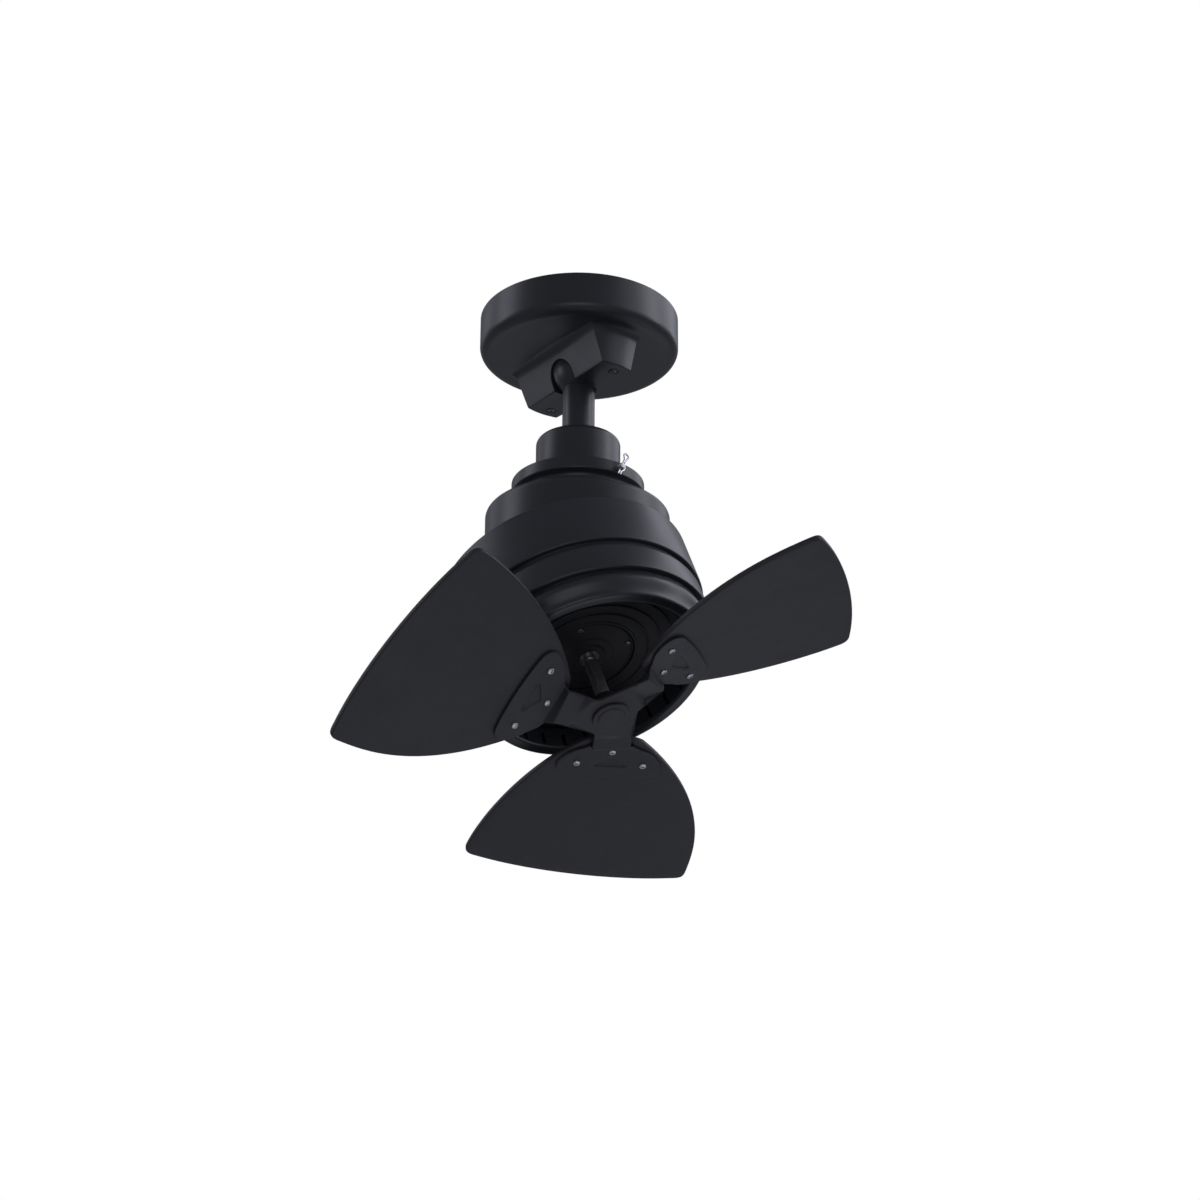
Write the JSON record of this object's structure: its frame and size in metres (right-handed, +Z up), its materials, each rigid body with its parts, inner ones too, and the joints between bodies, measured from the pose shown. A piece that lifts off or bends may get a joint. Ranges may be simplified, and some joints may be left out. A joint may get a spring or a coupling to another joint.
{
  "type": "tilting head ceiling fan",
  "caption": "Short drop-rod ceiling fan with a leaning drum-shaped motor head, banded housing, vented underside and broad paddle blades on a pressed spider.",
  "frame": {"origin": "middle of the ceiling face of the mounting plate", "axes": "+Z up through the ceiling, -Y the side the head leans to, +X along the tilt bolt towards its nut"},
  "size_m": [0.4033, 0.4133, 0.4273],
  "materials": {
    "satin_black": "satin black powder coat",
    "charcoal_blade": "matt charcoal, very fine texture",
    "dark_metal": "matt dark grey paint inside the head",
    "zinc_steel": "bright zinc plated",
    "chrome_screw": "bright plated",
    "lamination": "bare silicon steel",
    "copper_winding": "enamelled copper wire",
    "grey_plastic": "moulded grey plastic"
  },
  "bodies": {
    "mount": {"mounting_plate": "zinc_steel", "plate_posts": "zinc_steel", "terminal_block": "grey_plastic", "canopy": "satin_black", "canopy_screws": "chrome_screw"},
    "drop": {"hanger_ball": "satin_black", "ball_pin": "zinc_steel", "ball_set_screw": "zinc_steel", "downrod": "satin_black", "coupling_cup": "satin_black", "rod_collar": "zinc_steel", "collar_screws": "zinc_steel", "clevis_pin": "zinc_steel", "hairpin_cotter": "zinc_steel", "neck_flange": "satin_black", "neck_cap": "satin_black", "tilt_arm": "zinc_steel", "stem_nut": "zinc_steel"},
    "head": {"swivel_dome": "dark_metal", "tilt_bracket": "zinc_steel", "tilt_bolt": "zinc_steel", "tilt_nut": "zinc_steel", "friction_washers": "grey_plastic", "upper_shell": "satin_black", "middle_band": "satin_black", "finned_ring": "dark_metal", "lower_ring": "satin_black", "vent_floor": "dark_metal", "housing_screws": "chrome_screw", "motor_top_plate": "dark_metal", "motor_end_cap": "dark_metal", "end_cap_screws": "chrome_screw", "stator_core": "lamination", "stator_windings": "copper_winding", "upper_bearing": "zinc_steel", "lower_bearing": "zinc_steel", "run_capacitor": "grey_plastic"},
    "rotor": {"motor_shaft": "zinc_steel", "rotor_core": "lamination", "retaining_ring": "zinc_steel", "blade_hub": "dark_metal", "blade_spider": "satin_black", "hub_screws": "chrome_screw", "hub_cap": "satin_black", "blade_1": "charcoal_blade", "blade_2": "charcoal_blade", "blade_3": "charcoal_blade", "blade_screws": "chrome_screw"}
  },
  "joints": [
    {"name": "rod_swing", "type": "hinge", "parent": "mount", "child": "drop", "pos_m": [0, 0, -0.0475], "axis": [0.1305, 0.9914, 0], "range_deg": [0, 30]},
    {"name": "head_tilt", "type": "hinge", "parent": "drop", "child": "head", "pos_m": [0, 0, -0.277], "axis": [-1, 0, 0], "range_deg": [-24, 1]},
    {"name": "rotor_spin", "type": "hinge", "parent": "head", "child": "rotor", "pos_m": [0, 0, -0.277], "axis": [0, 0.4067, 0.9135], "continuous": true}
  ]
}
